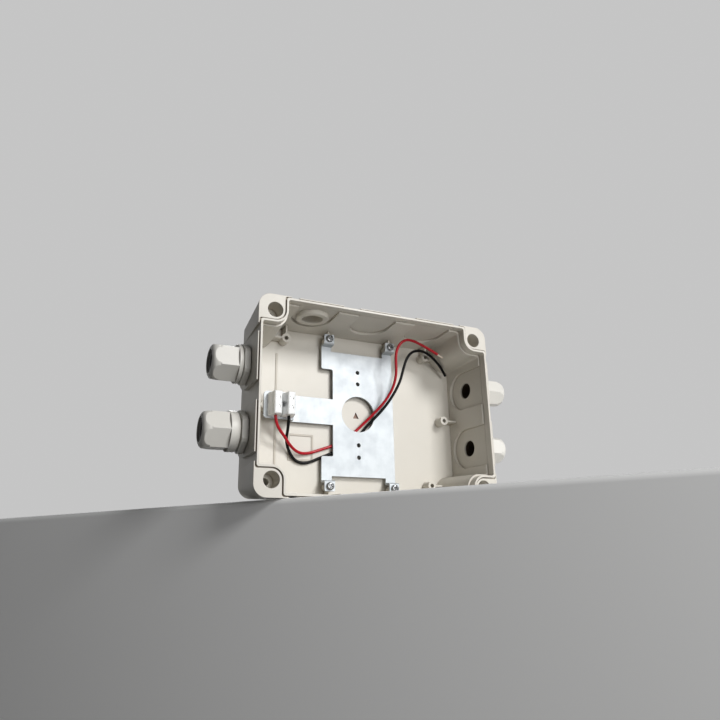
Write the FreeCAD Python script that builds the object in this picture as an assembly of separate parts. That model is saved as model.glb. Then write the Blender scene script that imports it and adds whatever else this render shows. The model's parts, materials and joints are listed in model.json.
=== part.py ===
import FreeCAD, Part
import math
import os

# Cable trunking box, open, without its cover: X is the width, Z points up, and
# Y runs from the open front (-Y) to the back (+Y). Depths are measured from
# the front plane of the corner pads towards the back.

Vector = FreeCAD.Vector

# Box outline
box_width = 190.0
box_height = 140.0
box_depth = 50.0
outline_radius = 9.0
tongue_rise = 1.0
wall_inset_front = 1.7
wall_inset_back = 3.8
floor_thickness = 2.7

# Rim: a thin outer ledge, a groove, and a tongue that the cover closes on
ledge_width = 0.7
groove_width = 0.8
tongue_width = 1.5
groove_depth = 1.3
pocket_step_depth = 5.5
pocket_step = 1.5
pocket_inset_floor = 7.3
inner_corner_radius = 1.7

# Corner pillars, concentric with the cover screw holes
lid_hole_inset_x = 11.95
lid_hole_inset_z = 11.5
lid_hole_radius = 5.6
lid_hole_depth = 14.0
wall_screw_radius = 2.5
pillar_radius = 9.4
corner_pad_length = 24.0
corner_pad_height = 22.8

# Cable entry pads
pad_radius = 17.2
recess_radius = 15.7
recess_slope = 0.034
entry_lip_inset = 3.0
entry_lip_clearance = 0.3
side_entry_pitch = 48.0
side_entry_depth = 26.5
side_pad_arc_depth = 28.5
top_entry_pitch = 48.0
top_entry_depth = 19.5
knockout_radius = 10.2
knockout_groove_width = 0.8
knockout_groove_depth = 1.2

# Screw bosses on the floor, placed from the walls that they stand beside
boss_height = 9.1
boss_radius = 3.5
plate_boss_radius = 2.5
boss_hole_radius = 1.6
boss_hole_length = 7.5
boss_rib_thickness = 1.3
corner_boss_from_side = 33.5
corner_boss_from_end = 16.7
side_boss_from_side = 18.6
floor_rib_from_side = 29.0
floor_rib_from_end = 27.0
floor_rib_width = 1.5
floor_rib_height = 0.4
floor_frame_size = 20.0
floor_frame_x = 46.0
floor_frame_z = 28.0
gate_mark_size = 5.0
gate_mark_depth = 1.2

# Mounting plate, pressed from sheet
sheet = 1.5
plate_drop = 6.1
plate_half_width = 30.9
plate_centre_hole_radius = 14.1
plate_tapped_radius = 1.65
tapped_offsets = (24.3, 33.75)
plate_screw_x = 26.75
plate_screw_from_end = 13.2
plate_edge_to_screw = 8.2
lug_width = 8.3
lug_to_boss = 0.5
lug_slope = 0.3
lug_past_screw = 3.6
lug_corner_radius = 1.1
bend_radius = 0.4
notch_depth = 9.5
notch_start = 10.0
notch_end = 34.0
arm_half_width = 10.0
arm_end_past_boss = 1.8
arm_raised_length = 23.4
arm_corner_radius = 2.5
arm_root_overlap = 4.0
lug_root_overlap = 4.0
plate_corner_radius = 1.5

# Plate screws
screw_head_radius = 2.95
screw_head_height = 2.1
screw_head_rounding = 1.25
screw_tip_chamfer = 0.75
screw_shank_radius = 1.5
screw_shank_length = 7.6
screw_clearance = 0.25
cross_width = 0.9
cross_length = 3.4
cross_depth = 1.1

# Cable glands in two sizes; radii, and lengths along the axis
large_gland = {
    "stem": 10.0, "bore": 7.0, "washer": 12.6, "hex_across": 27.0, "hex_length": 4.2,
    "neck": 11.2, "neck_end": 14.5, "seat": 9.0, "seal_bore": 4.5,
    "cap": 13.9, "flats_across": 24.0, "flats_length": 12.3, "mouth": 7.0, "end": 9.2,
}
small_gland = {
    "stem": 8.0, "bore": 6.2, "washer": 10.2, "hex_across": 22.0, "hex_length": 4.0,
    "neck": 9.0, "neck_end": 14.2, "seat": 7.2, "seal_bore": 3.5,
    "cap": 11.2, "flats_across": 19.6, "flats_length": 11.5, "mouth": 5.6, "end": 7.4,
}
gland_stem_inside = 2.9
thread_clearance = 0.1
washer_thickness = 0.5
seal_seat_start = 6.5
seal_clearance = 0.1
seal_behind_end = 3.6
seal_shoulder_behind_end = 11.7
cap_nose_length = 5.9
cap_lip = 1.2
cap_base_rounding = 1.3
cap_clearance = 0.3

# Blanking plug in the top wall
plug_radius = 12.0
plug_bore_radius = 7.6
plug_inside = 7.0
plug_head_radius = 13.2
plug_head_height = 1.9
plug_head_rounding = 1.2
plug_crown = 1.6
plug_slot_width = 2.4
plug_slot_depth = 0.9
plug_washer_thickness = 0.8
plug_washer_inset = 0.5

# Terminal block; heights are measured from the raised arm towards the front
pole_pitch = 10.0
block_to_arm_end = 12.2
block_below_middle = 0.4
block_height = 16.8
barrel_radius = 4.4
barrel_rounding = 0.6
tower_width = 5.8
tower_height = 11.7
tower_rounding = 1.0
barrel_height = 5.5
barrel_offset = 0.9
brass_radius = 2.4
brass_bore_radius = 0.95
brass_length = 10.8
brass_clearance = 0.05
wire_mouth_radius = 1.4
clamp_screw_radius = 1.15
clamp_bore_radius = 1.3
clamp_screw_sunk = 0.3
clamp_screw_offset = 3.4
fixing_bore_radius = 2.45
fixing_head_radius = 2.15
fixing_head_height = 1.7
fixing_web = 2.4
web_half_height = 5.9
fixing_shank_radius = 1.3
fixing_shank_length = 4.6
fixing_clearance = 0.15
slot_width = 0.6
slot_depth = 0.6

# Wires
wire_radius = 1.1
core_radius = 0.75
bare_tip_length = 5.5
clamped_core_length = 9.6

total_depth = box_depth + tongue_rise
front_y = tongue_rise - total_depth / 2
floor_depth = box_depth - floor_thickness
half_width = box_width / 2
mid_z = box_height / 2
tongue_outer_inset = ledge_width + groove_width
tongue_inner_inset = tongue_outer_inset + tongue_width
boss_top_depth = floor_depth - boss_height
corner_boss_x = half_width - corner_boss_from_side
corner_boss_z = mid_z - corner_boss_from_end
side_boss_x = half_width - side_boss_from_side
floor_rib_x = half_width - floor_rib_from_side
lug_front_depth = boss_top_depth - sheet
plate_front_depth = lug_front_depth + plate_drop
plate_back_depth = plate_front_depth + sheet
plate_screw_z = mid_z - plate_screw_from_end
plate_half_height = plate_screw_z - plate_edge_to_screw
bend_shift = sheet * math.tan(math.atan2(plate_drop, lug_slope) / 2)
lug_bend_z = plate_screw_z - plate_boss_radius - lug_to_boss - lug_slope - bend_shift
arm_end_x = side_boss_x + arm_end_past_boss
arm_bend_x = arm_end_x - arm_raised_length
block_centre_x = block_to_arm_end - arm_end_x
block_centre_z = mid_z - block_below_middle
tower_front_depth = lug_front_depth - tower_height
barrel_depth = lug_front_depth - barrel_height

os.makedirs("parts", exist_ok=True)
built = []


def at(x, depth, z):
    return Vector(x, front_y + depth, z)


def save(name, shape):
    shape.exportStep("parts/" + name + ".step")
    built.append((name, shape))


# A closed wire through corners (u, v, radius); place(u, v) puts it in space
def rounded_wire(corners, place):
    arcs = []
    count = len(corners)
    for index, (u, v, radius) in enumerate(corners):
        before = corners[index - 1]
        after = corners[(index + 1) % count]
        back = Vector(before[0] - u, before[1] - v, 0).normalize()
        ahead = Vector(after[0] - u, after[1] - v, 0).normalize()
        corner = Vector(u, v, 0)
        if radius == 0:
            arcs.append((corner, None, corner))
            continue
        half_turn = (math.pi - back.getAngle(ahead)) / 2
        cut = radius * math.tan(half_turn)
        inward = (back + ahead).normalize()
        middle = corner + inward * (radius / math.cos(half_turn) - radius)
        arcs.append((corner + back * cut, middle, corner + ahead * cut))
    edges = []
    for index, (start, middle, end) in enumerate(arcs):
        if middle is not None:
            points = [place(p.x, p.y) for p in (start, middle, end)]
            edges.append(Part.Arc(*points).toShape())
        following = arcs[(index + 1) % count][0]
        if end.distanceToPoint(following) > 1e-6:
            line = Part.LineSegment(place(end.x, end.y), place(following.x, following.y))
            edges.append(line.toShape())
    return Part.Wire(edges)


def front_place(depth):
    return lambda u, v: at(u, depth, v)


# A plate-like solid seen from the front, between two depths
def front_prism(corners, start, end):
    face = Part.Face(rounded_wire(corners, front_place(start)))
    return face.extrude(Vector(0, end - start, 0))


def front_loft(first, start, second, end):
    wires = [rounded_wire(first, front_place(start)), rounded_wire(second, front_place(end))]
    return Part.makeLoft(wires, True, True)


def block(x0, x1, depth0, depth1, z0, z1):
    return Part.makeBox(x1 - x0, depth1 - depth0, z1 - z0, at(x0, depth0, z0))


# A cylinder running from the front towards the back
def front_cylinder(radius, x, z, start, end):
    return Part.makeCylinder(radius, end - start, at(x, start, z), Vector(0, 1, 0))


# The edges that lie whole in one depth plane
def edges_at(shape, depth):
    y = at(0, depth, 0).y
    return [edge for edge in shape.Edges
            if abs(edge.BoundBox.YMin - y) < 1e-6 and abs(edge.BoundBox.YMax - y) < 1e-6]


def united(shapes):
    first = shapes[0]
    return first.multiFuse(shapes[1:]).removeSplitter()


def outline(inset, radius):
    x = box_width / 2 - inset
    top = box_height - inset
    return [(-x, inset, radius), (x, inset, radius), (x, top, radius), (-x, top, radius)]


# The inner contour of the box, which steps round the four corner pillars
def contour(inset):
    pillar = pillar_radius + inset - tongue_inner_inset
    x = box_width / 2 - inset
    px = box_width / 2 - lid_hole_inset_x - pillar
    top = box_height - inset
    low = lid_hole_inset_z + pillar
    high = box_height - low
    small = inner_corner_radius
    return [
        (-px, inset, small), (px, inset, small), (px, low, pillar),
        (x, low, small), (x, high, small), (px, high, pillar),
        (px, top, small), (-px, top, small), (-px, high, pillar),
        (-x, high, small), (-x, low, small), (-px, low, pillar),
    ]


# A pad or recess: straight sides from the rim and a half-round end
def arch_wire(radius, arc_depth, start, place):
    left_foot = place(-radius, start)
    right_foot = place(radius, start)
    left = place(-radius, arc_depth)
    right = place(radius, arc_depth)
    tip = place(0, arc_depth + radius)
    return Part.Wire([
        Part.LineSegment(left_foot, left).toShape(),
        Part.Arc(left, tip, right).toShape(),
        Part.LineSegment(right, right_foot).toShape(),
        Part.LineSegment(right_foot, left_foot).toShape(),
    ])


# Each cable entry: wall normal, centre along the wall, and arc depth
def entries():
    found = []
    for side in (-1, 1):
        for step in (-0.5, 0.5):
            found.append(("side", side, mid_z + step * side_entry_pitch))
    for side in (-1, 1):
        for step in (-1, 0, 1):
            found.append(("level", side, step * top_entry_pitch))
    return found


def entry_frame(kind, side, centre):
    if kind == "side":
        wall = side * box_width / 2
        place = lambda inset: lambda u, depth: at(wall - side * inset, depth, centre + u)
        return place, Vector(side, 0, 0), side_pad_arc_depth, side_entry_depth
    wall = mid_z + side * box_height / 2
    place = lambda inset: lambda u, depth: at(centre + u, depth, wall - side * inset)
    return place, Vector(0, 0, side), top_entry_depth, top_entry_depth


def outer_pad(kind, side, centre):
    place, normal, arc_depth, hole_depth = entry_frame(kind, side, centre)
    inner = tongue_inner_inset
    wire = arch_wire(pad_radius, arc_depth, 0, place(inner))
    return Part.Face(wire).extrude(normal * inner)


# The recess inside the wall behind a pad; its face leans in by recess_slope
def inner_recess(kind, side, centre):
    place, normal, arc_depth, hole_depth = entry_frame(kind, side, centre)
    start = -tongue_rise - 1
    reach = pocket_inset_floor + 3
    wire = arch_wire(recess_radius, arc_depth, start, place(reach))
    arch = Part.Face(wire).extrude(normal * (reach - tongue_inner_inset))
    end = arc_depth + recess_radius + 2
    width = recess_radius + 2
    leaning = place(tongue_inner_inset + recess_slope * end)
    flush = place(tongue_inner_inset)
    far = place(reach + 2)
    corners = [flush(-width, 0), leaning(-width, end), far(-width, end), far(-width, start),
               flush(-width, start), flush(-width, 0)]
    side_face = Part.Face(Part.makePolygon(corners))
    along = flush(width, 0) - flush(-width, 0)
    return arch.common(side_face.extrude(along))


def entry_hole(kind, side, centre, radius, inset):
    place, normal, arc_depth, hole_depth = entry_frame(kind, side, centre)
    return Part.makeCylinder(radius, inset + 1, place(inset)(0, hole_depth), normal)


# The ring groove outside a closed knockout
def knockout_ring(kind, side, centre):
    place, normal, arc_depth, hole_depth = entry_frame(kind, side, centre)
    start = place(knockout_groove_depth)(0, hole_depth)
    reach = knockout_groove_depth + 1
    outer = Part.makeCylinder(knockout_radius + knockout_groove_width, reach, start, normal)
    return outer.cut(Part.makeCylinder(knockout_radius, reach, start, normal))


def corner_places():
    x = box_width / 2 - lid_hole_inset_x
    z = mid_z - lid_hole_inset_z
    return [(sx * x, mid_z + sz * z) for sx in (-1, 1) for sz in (-1, 1)]


# A floor boss with ribs towards the walls that it stands beside
def boss(x, z, radius, towards):
    body = front_cylinder(radius, x, z, boss_top_depth, floor_depth + 1)
    shapes = [body]
    half = boss_rib_thickness / 2
    for direction in towards:
        if direction in ("left", "right"):
            sign = -1 if direction == "left" else 1
            wall = box_width / 2 - tongue_inner_inset
            if abs(z - mid_z) > 1:
                wall = box_width / 2 - lid_hole_inset_x - pillar_radius
            ends = sorted((x, sign * wall))
            shapes.append(block(ends[0], ends[1], boss_top_depth, floor_depth + 1, z - half, z + half))
        else:
            sign = 1 if direction == "up" else -1
            wall = mid_z + sign * (mid_z - tongue_inner_inset)
            ends = sorted((z, wall))
            shapes.append(block(x - half, x + half, boss_top_depth, floor_depth + 1, ends[0], ends[1]))
    return united(shapes)


def boss_list():
    found = []
    for sz in (-1, 1):
        upright = "up" if sz > 0 else "down"
        for sx in (-1, 1):
            sideways = "right" if sx > 0 else "left"
            found.append((sx * corner_boss_x, mid_z + sz * corner_boss_z, boss_radius, (sideways, upright)))
            found.append((sx * plate_screw_x, mid_z + sz * plate_screw_z, plate_boss_radius, (upright,)))
    for sx in (-1, 1):
        sideways = "right" if sx > 0 else "left"
        found.append((sx * side_boss_x, mid_z, boss_radius, (sideways,)))
    return found


def make_base():
    shell = front_loft(outline(wall_inset_front, outline_radius), 0,
                       outline(wall_inset_back, outline_radius), box_depth)
    full = front_loft(outline(0, outline_radius), 0,
                      outline(wall_inset_back, outline_radius), box_depth)
    zones = []
    for sx in (-1, 1):
        for sz in (-1, 1):
            xs = sorted((sx * half_width, sx * (half_width - corner_pad_length)))
            zs = sorted((mid_z + sz * mid_z, mid_z + sz * (mid_z - corner_pad_height)))
            zones.append(block(xs[0], xs[1], 0, box_depth, zs[0], zs[1]))
    corner_blocks = [full.common(zone) for zone in zones]
    pads = [outer_pad(*entry) for entry in entries()]
    tongue = front_prism(contour(tongue_outer_inset), -tongue_rise, 1)
    body = united([shell, tongue] + corner_blocks + pads)

    groove = front_prism(contour(ledge_width), -1, groove_depth).cut(
        front_prism(contour(tongue_outer_inset), -tongue_rise - 1, groove_depth + 1))
    upper = front_prism(contour(tongue_inner_inset), -tongue_rise - 1, pocket_step_depth)
    lower = front_loft(contour(tongue_inner_inset + pocket_step), pocket_step_depth,
                       contour(pocket_inset_floor), floor_depth)
    recesses = [inner_recess(*entry) for entry in entries()]
    body = body.cut([groove, upper, lower] + recesses)

    bosses = [boss(*spec) for spec in boss_list()]
    ribs = []
    half_rib = floor_rib_width / 2
    rib_top = floor_depth - floor_rib_height
    ribs.append(block(-floor_rib_x - half_rib, -floor_rib_x + half_rib, rib_top, floor_depth + 1,
                      floor_rib_from_end, box_height - floor_rib_from_end))
    frame_outer = floor_frame_size / 2
    frame_inner = frame_outer - floor_rib_width
    frame_low = mid_z - floor_frame_z
    frame = block(-floor_frame_x - frame_outer, -floor_frame_x + frame_outer, rib_top, floor_depth + 1,
                  frame_low - frame_outer, frame_low + frame_outer)
    ribs.append(frame.cut(block(-floor_frame_x - frame_inner, -floor_frame_x + frame_inner, rib_top - 1,
                                floor_depth + 1, frame_low - frame_inner, frame_low + frame_inner)))
    keep_inside = front_loft(outline(tongue_inner_inset, outline_radius), pocket_step_depth,
                             outline(pocket_inset_floor - 1, outline_radius), floor_depth + 1)
    fittings = [shape.common(keep_inside) for shape in bosses + ribs]
    body = united([body] + fittings)

    holes = []
    for x, z in corner_places():
        holes.append(front_cylinder(lid_hole_radius, x, z, -tongue_rise - 1, lid_hole_depth))
        holes.append(front_cylinder(wall_screw_radius, x, z, 0, box_depth + 1))
    for x, z, radius, towards in boss_list():
        hole_end = boss_top_depth + boss_hole_length
        holes.append(front_cylinder(boss_hole_radius, x, z, boss_top_depth - 1, hole_end))
    for entry in entries():
        if entry[0] == "side":
            size = large_gland if entry[1] < 0 else small_gland
            holes.append(entry_hole(*entry, size["stem"] + thread_clearance, entry_lip_inset))
            holes.append(entry_hole(*entry, size["bore"] + entry_lip_clearance, pocket_inset_floor))
        elif entry == plug_entry:
            holes.append(entry_hole(*entry, plug_radius + thread_clearance, pocket_inset_floor))
        else:
            holes.append(knockout_ring(*entry))
    mark = gate_mark_size / 2
    holes.append(front_prism([(-mark, mid_z - mark, 0), (mark, mid_z - mark, 0), (0, mid_z + mark, 0)],
                             floor_depth - 1, floor_depth + gate_mark_depth))
    return body.cut(holes)


plug_entry = ("level", 1, -top_entry_pitch)


# Mounting plate: a flat panel with four raised lugs and a raised side arm
def joggle(start, slope, end, place, low_front, high_front, extrude):
    outer_bend = bend_radius + sheet
    corners = [
        (0, low_front, 0), (start, low_front, bend_radius), (start + slope, high_front, outer_bend),
        (end, high_front, 0), (end, high_front + sheet, 0),
        (start + slope + bend_shift, high_front + sheet, bend_radius),
        (start + bend_shift, low_front + sheet, outer_bend), (0, low_front + sheet, 0),
    ]
    return Part.Face(rounded_wire(corners, place)).extrude(extrude)


def make_plate():
    w = plate_half_width
    h = plate_half_height
    r = plate_corner_radius
    n = w - notch_depth
    arm_root = -n + arm_root_overlap
    corners = [(-w, -h, r), (w, -h, r), (w, h, r), (-w, h, r), (-w, notch_end, r), (-n, notch_end, r),
               (-n, notch_start, r), (arm_root, 0, 0), (-n, -notch_start, r), (-n, -notch_end, r),
               (-w, -notch_end, r)]
    raised = [(u, mid_z + v, radius) for u, v, radius in corners]
    panel = front_prism(raised, plate_front_depth, plate_back_depth)
    shapes = [panel]
    for sx in (-1, 1):
        for sz in (-1, 1):
            x0 = sx * plate_screw_x - lug_width / 2
            base = plate_half_height - lug_root_overlap
            place = lambda u, v, x0=x0, sz=sz: at(x0, v, mid_z + sz * (base + u))
            lug_end = plate_screw_z + lug_past_screw
            strip = joggle(lug_bend_z - base, lug_slope, lug_end - base, place,
                           plate_front_depth, lug_front_depth, Vector(lug_width, 0, 0))
            x1 = x0 + lug_width
            low = mid_z + sz * base
            high = mid_z + sz * lug_end
            keep = front_prism([(x0, low, 0), (x1, low, 0), (x1, high, lug_corner_radius),
                                (x0, high, lug_corner_radius)], lug_front_depth - 1, plate_back_depth + 1)
            shapes.append(strip.common(keep))
    arm_low = mid_z - arm_half_width
    arm_high = mid_z + arm_half_width
    arm_place = lambda u, v: at(arm_root - u, v, arm_low)
    arm = joggle(arm_bend_x + arm_root, lug_slope, arm_end_x + arm_root, arm_place,
                 plate_front_depth, lug_front_depth, Vector(0, 0, 2 * arm_half_width))
    keep = front_prism([(-arm_end_x, arm_low, arm_corner_radius), (0, arm_low, 0),
                        (0, arm_high, 0), (-arm_end_x, arm_high, arm_corner_radius)],
                       lug_front_depth - 1, plate_back_depth + 1)
    shapes.append(arm.common(keep))
    plate = united(shapes)
    start = lug_front_depth - 1
    end = plate_back_depth + 1
    holes = [front_cylinder(plate_centre_hole_radius, 0, mid_z, start, end)]
    for sz in (-1, 1):
        for offset in tapped_offsets:
            holes.append(front_cylinder(plate_tapped_radius, 0, mid_z + sz * offset, start, end))
        for sx in (-1, 1):
            holes.append(front_cylinder(screw_shank_radius + screw_clearance, sx * plate_screw_x,
                                        mid_z + sz * plate_screw_z, start, end))
    holes.append(front_cylinder(fixing_shank_radius + fixing_clearance, block_centre_x, block_centre_z, start, end))
    return plate.cut(holes)


# Pan-head screw with a cross recess, its head resting on the plate lug
def make_plate_screw(x, z):
    seat = lug_front_depth
    front = seat - screw_head_height
    back = seat + screw_shank_length
    head = front_cylinder(screw_head_radius, x, z, front, seat)
    head = head.makeFillet(screw_head_rounding, edges_at(head, front))
    shank = front_cylinder(screw_shank_radius, x, z, seat - 0.5, back)
    shank = shank.makeChamfer(screw_tip_chamfer, edges_at(shank, back))
    arms = []
    for turn in (25, 115):
        arm = block(-cross_length / 2, cross_length / 2, front - 1, front + cross_depth,
                    -cross_width / 2, cross_width / 2)
        arm.rotate(Vector(0, 0, 0), Vector(0, 1, 0), turn)
        arm.translate(Vector(x, 0, z))
        arms.append(arm)
    return united([head, shank]).cut(arms)


# Turned shapes about the gland axis: profile of (distance, radius, corner radius)
def turned(profile, origin, direction):
    side = Vector(0, 1, 0) if abs(direction.z) < 0.5 else Vector(1, 0, 0)
    place = lambda u, v: origin + direction * u + side * v
    face = Part.Face(rounded_wire(profile, place))
    return face.revolve(origin, direction, 360)


def hex_prism(across, start, end, origin, direction, turn):
    radius = across / math.sqrt(3)
    side = Vector(0, -1, 0)
    upward = direction.cross(side)
    points = []
    for corner in range(7):
        angle = math.radians(60 * corner + turn)
        spoke = side * math.cos(angle) + upward * math.sin(angle)
        points.append(origin + direction * start + spoke * radius)
    return Part.Face(Part.makePolygon(points)).extrude(direction * (end - start))


# One gland: body, washer and seal, and the cap nut that turns on the body
def make_gland(name, side, z, size, cap_gap, collar_length, cap_turn):
    origin = at(side * half_width, side_entry_depth, z)
    out = Vector(side, 0, 0)
    hex_start = washer_thickness
    hex_end = hex_start + size["hex_length"]
    stem = size["stem"]
    neck_end = size["neck_end"]
    corner_limit = size["hex_across"] / math.sqrt(3) - 0.7
    body_outer = turned([(-gland_stem_inside, 0, 0), (-gland_stem_inside, stem, 0.8),
                         (hex_start, stem, 0), (hex_start, size["neck"], 0),
                         (neck_end, size["neck"], 0.8), (neck_end, 0, 0)], origin, out)
    flange = hex_prism(size["hex_across"], hex_start, hex_end, origin, out, 30)
    drum = turned([(hex_start, 0, 0), (hex_start, corner_limit, 0.6), (hex_end, corner_limit, 0.6),
                   (hex_end, 0, 0)], origin, out)
    bore = turned([(-gland_stem_inside - 1, 0, 0), (-gland_stem_inside - 1, size["bore"], 0),
                   (seal_seat_start, size["bore"], 0), (seal_seat_start, size["seat"], 0),
                   (neck_end + 1, size["seat"], 0), (neck_end + 1, 0, 0)], origin, out)
    save("gland_body_" + name, united([body_outer, flange.common(drum)]).cut(bore))

    inner = stem + thread_clearance
    washer = turned([(0, inner, 0), (0, size["washer"], 0.2), (hex_start, size["washer"], 0.2),
                     (hex_start, inner, 0)], origin, out)
    save("gland_washer_" + name, washer)

    cap_start = hex_end + cap_gap
    collar_end = cap_start + collar_length
    flats_end = collar_end + size["flats_length"]
    cap_end = flats_end + cap_nose_length
    shoulder = cap_end - seal_shoulder_behind_end
    seal_front = cap_end - seal_behind_end
    seal_radius = size["seat"] - seal_clearance
    mouth = size["mouth"]
    seal = turned([(seal_seat_start, size["seal_bore"], 0), (seal_seat_start, seal_radius, 0),
                   (shoulder, seal_radius, 0), (seal_front, mouth, 1.0),
                   (seal_front, size["seal_bore"], 0.5)], origin, out)
    save("gland_seal_" + name, seal)

    cap = size["cap"]
    outer = turned([(cap_start, 0, 0), (cap_start, cap, cap_base_rounding),
                    (cap_end, cap, cap - size["end"]), (cap_end, 0, 0)], origin, out)
    neck = size["neck"] + cap_clearance
    throat = seal_radius + cap_clearance
    inner_end = shoulder + cap_clearance
    hollow = turned([(cap_start - 1, 0, 0), (cap_start - 1, neck, 0), (inner_end, neck, 0),
                     (inner_end, throat, 0), (seal_front + cap_clearance, mouth + cap_clearance, 0),
                     (cap_end - cap_lip, mouth, 0), (cap_end + 1, mouth, 0), (cap_end + 1, 0, 0)], origin, out)
    ring = turned([(collar_end, 0, 0), (collar_end, cap + 2, 0), (flats_end, cap + 2, 0),
                   (flats_end, 0, 0)], origin, out)
    flats = ring.cut(hex_prism(size["flats_across"], collar_end - 1, flats_end + 1, origin, out, cap_turn))
    save("gland_cap_" + name, outer.cut([hollow, flats]))


def make_plug():
    origin = at(plug_entry[2], top_entry_depth, box_height)
    up = Vector(0, 0, 1)
    seat = plug_washer_thickness
    top = seat + plug_head_height
    crown_back = top - plug_slot_depth - plug_crown
    body = turned([(-plug_inside, plug_bore_radius, 1.0), (-plug_inside, plug_radius, 0.8),
                   (seat, plug_radius, 0), (seat, plug_head_radius, 0.3),
                   (top, plug_head_radius, plug_head_rounding), (top, 0, 0),
                   (crown_back, 0, 0), (crown_back, plug_bore_radius, 0)], origin, up)
    slot_corner = Vector(-plug_head_radius - 1, -plug_slot_width / 2, top - plug_slot_depth)
    slot = Part.makeBox(2 * plug_head_radius + 2, plug_slot_width, plug_slot_depth + 1, origin + slot_corner)
    save("blanking_plug", body.cut(slot))
    inner = plug_radius + thread_clearance
    rim = plug_head_radius - plug_washer_inset
    washer = turned([(0, inner, 0), (0, rim, 0.2), (seat, rim, 0.2), (seat, inner, 0)], origin, up)
    save("plug_washer", washer)


def pole_places():
    return [block_centre_x - pole_pitch / 2, block_centre_x + pole_pitch / 2]


# A cylinder standing on a height, its axis at a depth
def upright_cylinder(radius, x, depth, low, high):
    return Part.makeCylinder(radius, high - low, at(x, depth, low), Vector(0, 0, 1))


def make_terminal_block():
    back = lug_front_depth
    low = block_centre_z - block_height / 2
    high = block_centre_z + block_height / 2
    middle = barrel_depth + barrel_offset
    brass_low = block_centre_z - brass_length / 2
    brass_high = block_centre_z + brass_length / 2
    clamp_heights = [block_centre_z - clamp_screw_offset, block_centre_z + clamp_screw_offset]
    shapes = []
    for x in pole_places():
        barrel = upright_cylinder(barrel_radius, x, middle, low, high)
        rims = [edge for edge in barrel.Edges if len(edge.Vertexes) == 1]
        shapes.append(barrel.makeFillet(barrel_rounding, rims))
        shapes.append(block(x - barrel_radius, x + barrel_radius, middle, back, low, high))
        tower = block(x - tower_width / 2, x + tower_width / 2, tower_front_depth, middle, low, high)
        shapes.append(tower.makeFillet(tower_rounding, edges_at(tower, tower_front_depth)))
    left_pole, right_pole = pole_places()
    seat = back - fixing_web
    shapes.append(block(left_pole, right_pole, seat, back, block_centre_z - web_half_height,
                        block_centre_z + web_half_height))
    housing = united(shapes)
    holes = []
    for x in pole_places():
        holes.append(upright_cylinder(wire_mouth_radius, x, barrel_depth, low - 1, high + 1))
        holes.append(upright_cylinder(brass_radius + brass_clearance, x, barrel_depth, brass_low, brass_high))
        for z in clamp_heights:
            holes.append(front_cylinder(clamp_bore_radius, x, z, tower_front_depth - 1, barrel_depth))
    holes.append(front_cylinder(fixing_bore_radius, block_centre_x, block_centre_z, tower_front_depth - 1, seat))
    holes.append(front_cylinder(fixing_shank_radius + fixing_clearance, block_centre_x, block_centre_z,
                                tower_front_depth, back + 1))
    save("terminal_housing", housing.cut(holes))

    screw_front = tower_front_depth + clamp_screw_sunk
    for label, x in zip(("red", "black"), pole_places()):
        tube = upright_cylinder(brass_radius, x, barrel_depth, brass_low, brass_high)
        bore = upright_cylinder(brass_bore_radius, x, barrel_depth, brass_low - 1, brass_high + 1)
        taps = [front_cylinder(clamp_screw_radius, x, z, barrel_depth - brass_radius - 1, barrel_depth)
                for z in clamp_heights]
        save("terminal_brass_" + label, tube.cut([bore] + taps))
        screws = []
        for z in clamp_heights:
            screw = front_cylinder(clamp_screw_radius, x, z, screw_front, barrel_depth - core_radius)
            slot = block(x - clamp_screw_radius, x + clamp_screw_radius, screw_front - 1,
                         screw_front + slot_depth, z - slot_width / 2, z + slot_width / 2)
            screws.append(screw.cut(slot))
        save("clamp_screws_" + label, Part.makeCompound(screws))

    front = seat - fixing_head_height
    head = front_cylinder(fixing_head_radius, block_centre_x, block_centre_z, front, seat)
    shank = front_cylinder(fixing_shank_radius, block_centre_x, block_centre_z, seat - 0.5,
                           seat + fixing_shank_length)
    slot = block(block_centre_x - fixing_head_radius, block_centre_x + fixing_head_radius, front - 1,
                 front + slot_depth, block_centre_z - slot_width / 2, block_centre_z + slot_width / 2)
    save("terminal_fixing_screw", united([head, shank]).cut(slot))


# Wire routes as (x, depth, z); each is straight runs joined by tangent arcs
red_route = [
    (-71.0, 31.2, 64.2), (-71.0, 31.2, 59.2), (-69.6, 32.0, 54.6), (-66.8, 33.7, 51.0), (-62.6, 36.4, 47.8),
    (-57.8, 39.8, 43.0), (-52.4, 42.2, 38.8), (-46.4, 44.3, 37.0), (-39.4, 45.5, 37.9), (-31.0, 45.8, 40.9),
    (-20.4, 45.8, 44.6), (-10.2, 45.8, 49.2), (-1.6, 45.6, 56.6), (5.0, 43.0, 63.4), (12.4, 38.6, 71.4),
    (20.4, 33.6, 81.4), (25.0, 29.4, 91.6), (26.2, 26.2, 102.4), (24.6, 24.2, 112.4), (25.2, 23.0, 120.2),
    (28.6, 22.2, 126.4), (34.2, 22.0, 129.8), (40.8, 22.3, 129.6), (47.4, 22.9, 127.8), (55.6, 23.8, 125.2),
    (64.4, 24.6, 121.8),
]
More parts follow.
